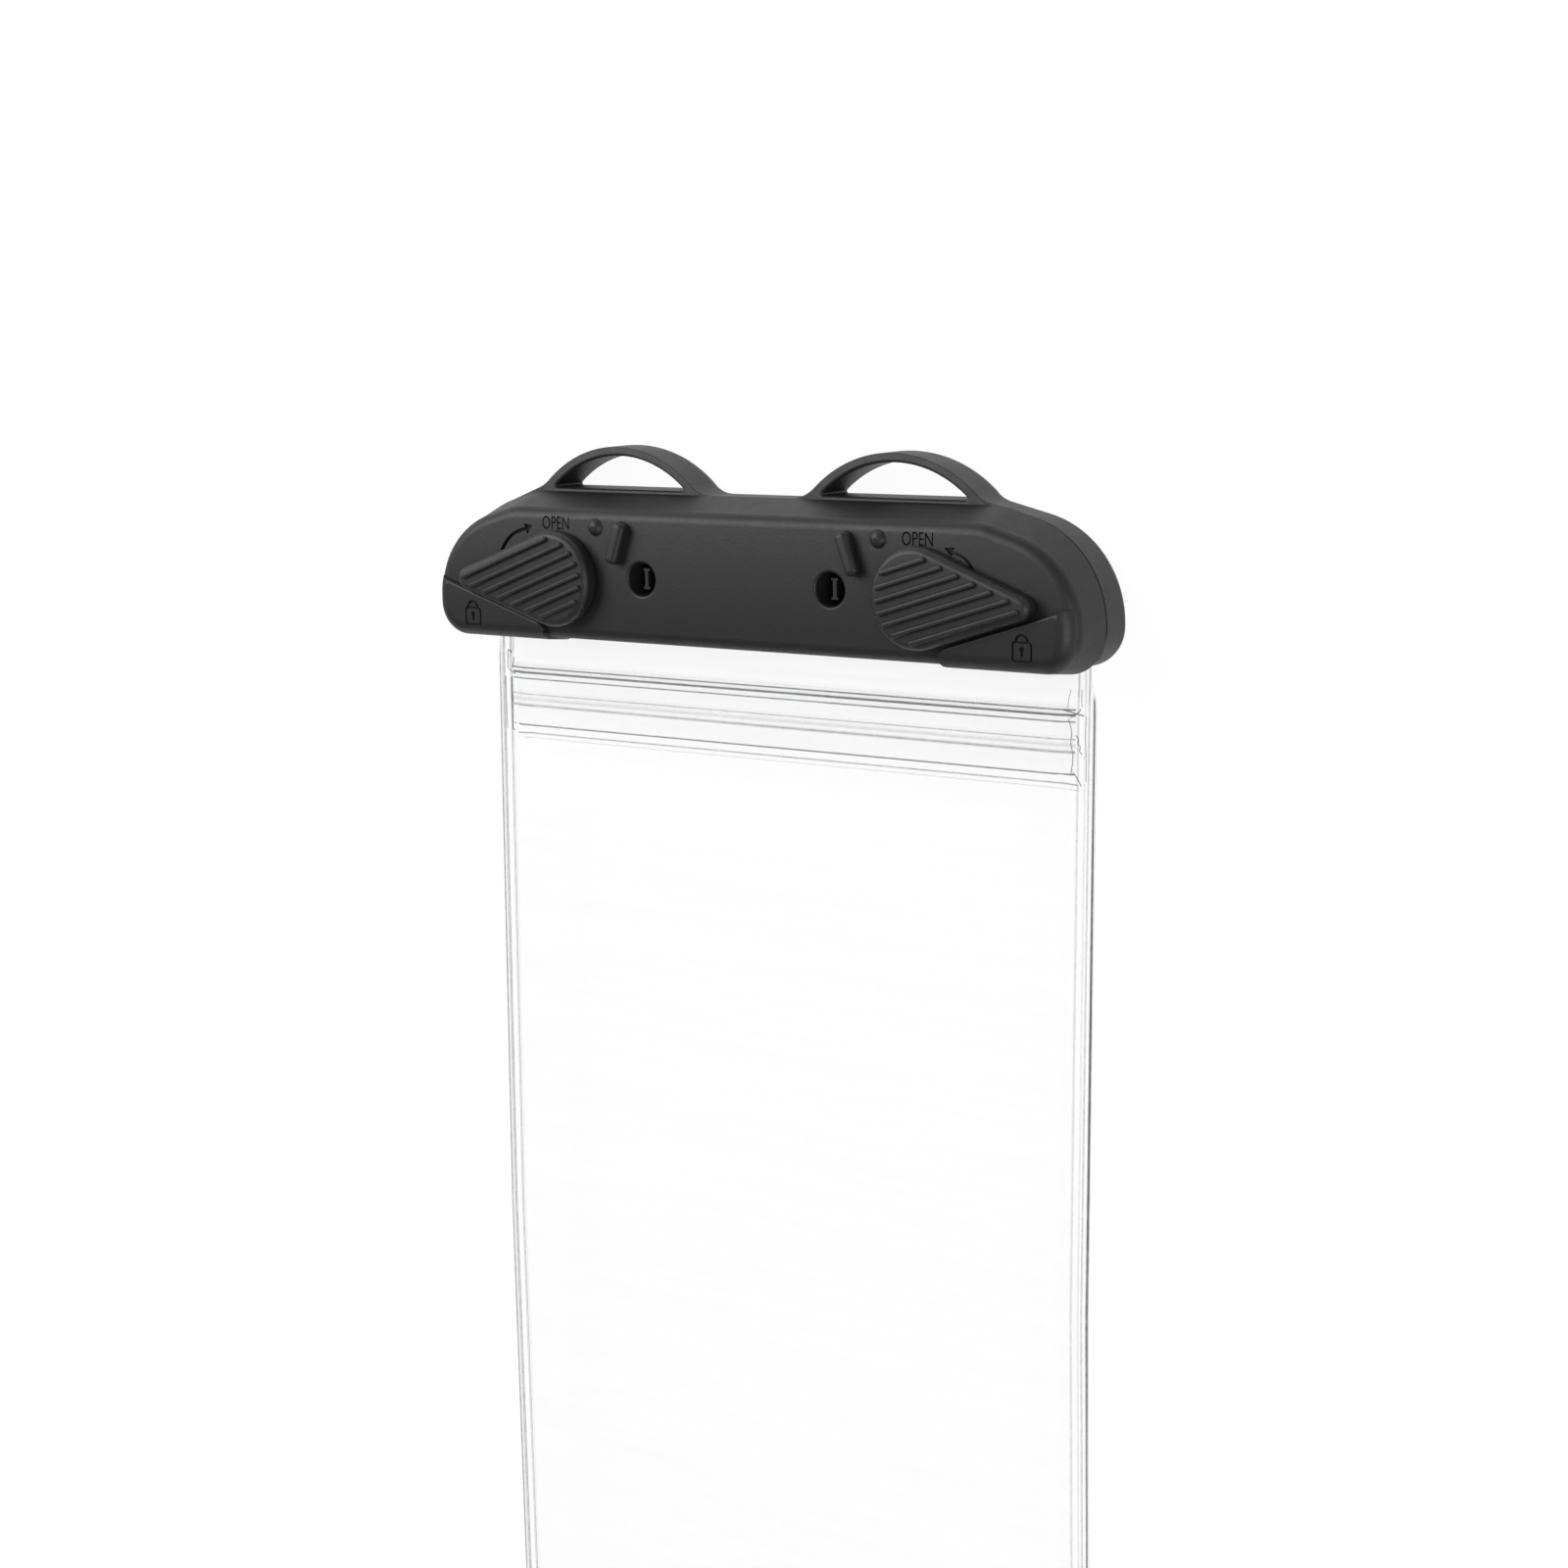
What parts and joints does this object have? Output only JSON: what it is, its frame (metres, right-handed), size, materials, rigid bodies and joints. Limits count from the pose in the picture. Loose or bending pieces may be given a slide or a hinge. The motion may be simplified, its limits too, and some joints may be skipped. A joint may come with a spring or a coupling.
{
  "type": "waterproof phone pouch",
  "caption": "Clear flat phone pouch with a zip strip under a rigid clamp: arched cord loops and ribbed levers that turn to lock the two clamp halves together.",
  "frame": {"origin": "on the surface it lies on, below the middle of the whole object", "axes": "+X across the clamp to the wearer's left as seen from the front, +Y from the closed end towards the cord loops, +Z out of the clamp's front face"},
  "size_m": [0.123, 0.2284, 0.0181],
  "materials": {
    "front_half": "fine matte",
    "rear_half": "fine matte",
    "lever": "fine matte",
    "cam": "matte",
    "screw": "plain",
    "seal": "soft",
    "film": "clear",
    "zip_strip": "clear"
  },
  "bodies": {
    "clamp": {"front_shell": "front_half", "rear_shell": "rear_half", "front_seal": "seal", "rear_seal": "seal", "front_film": "film", "rear_film": "film", "front_zip": "zip_strip", "rear_zip": "zip_strip"},
    "right_lock": {"right_lever": "lever", "right_lock_cam": "cam", "right_cam_screw": "screw"},
    "left_lock": {"left_lever": "lever", "left_lock_cam": "cam", "left_cam_screw": "screw"}
  },
  "joints": [
    {"name": "right_lock_turn", "type": "hinge", "parent": "clamp", "child": "right_lock", "pos_m": [0.0346, 0.09345, 0.0146], "axis": [0, 0, 1], "range_deg": [0, 130]},
    {"name": "left_lock_turn", "type": "hinge", "parent": "clamp", "child": "left_lock", "pos_m": [-0.0346, 0.09345, 0.0146], "axis": [0, 0, 1], "range_deg": [-130, 0]}
  ]
}
